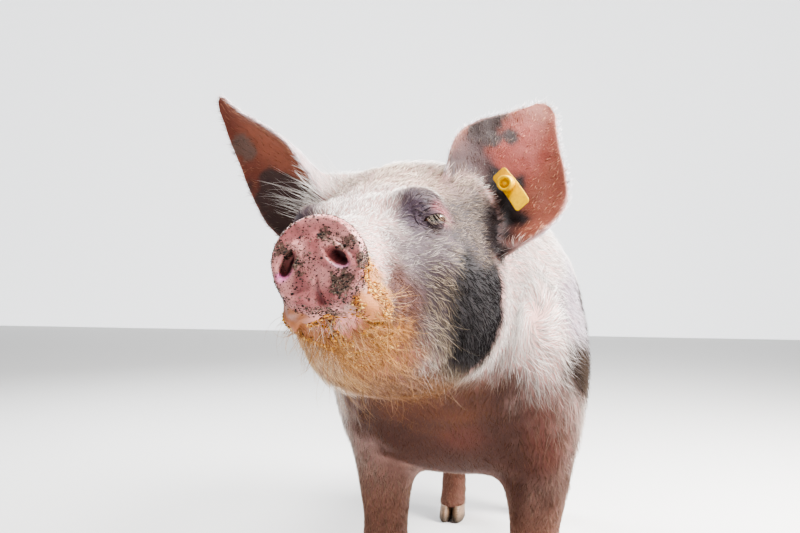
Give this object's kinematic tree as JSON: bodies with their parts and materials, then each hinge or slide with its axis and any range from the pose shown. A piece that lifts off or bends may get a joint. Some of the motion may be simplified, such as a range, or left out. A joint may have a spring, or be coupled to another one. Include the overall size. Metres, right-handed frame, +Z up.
{
  "type": "domestic pig",
  "caption": "Still life-size model of a young domestic pig standing with its head raised, ears spread, short pale coat over pink and grey skin, and a plain tag in its left ear.",
  "frame": {"origin": "on the floor under the middle of the pig's outer box", "axes": "-Y is the way the pig faces, +X is its left side, +Z is up"},
  "size_m": [0.406, 1.3752, 0.7277],
  "materials": {
    "hide": "matt pinkish skin with grey patches under short bristles",
    "coat": "short white and cream bristle hair, slightly glossy",
    "snout": "bare moist pink skin",
    "ear": "thin bare pink skin with dark patches",
    "eye": "wet, dark brown",
    "claw": "dull worn horn",
    "tag": "plain yellow plastic, no marks"
  },
  "bodies": {
    "root": {"barrel": "hide", "ear_left": "ear", "ear_right": "ear", "ear_tag_flag": "tag", "ear_tag_stud": "tag", "eye_left": "eye", "eye_right": "eye", "foreleg_left": "hide", "foreleg_left_claw_inner": "claw", "foreleg_left_claw_outer": "claw", "foreleg_left_dewclaw_inner": "claw", "foreleg_left_dewclaw_outer": "claw", "foreleg_right": "hide", "foreleg_right_claw_inner": "claw", "foreleg_right_claw_outer": "claw", "foreleg_right_dewclaw_inner": "claw", "foreleg_right_dewclaw_outer": "claw", "head": "hide", "hindleg_left": "hide", "hindleg_left_claw_inner": "claw", "hindleg_left_claw_outer": "claw", "hindleg_left_dewclaw_inner": "claw", "hindleg_left_dewclaw_outer": "claw", "hindleg_right": "hide", "hindleg_right_claw_inner": "claw", "hindleg_right_claw_outer": "claw", "hindleg_right_dewclaw_inner": "claw", "hindleg_right_dewclaw_outer": "claw", "lower_jaw": "hide", "neck": "coat", "rump": "hide", "shoulders": "coat", "snout": "snout", "tail": "hide"}
  },
  "joints": []
}
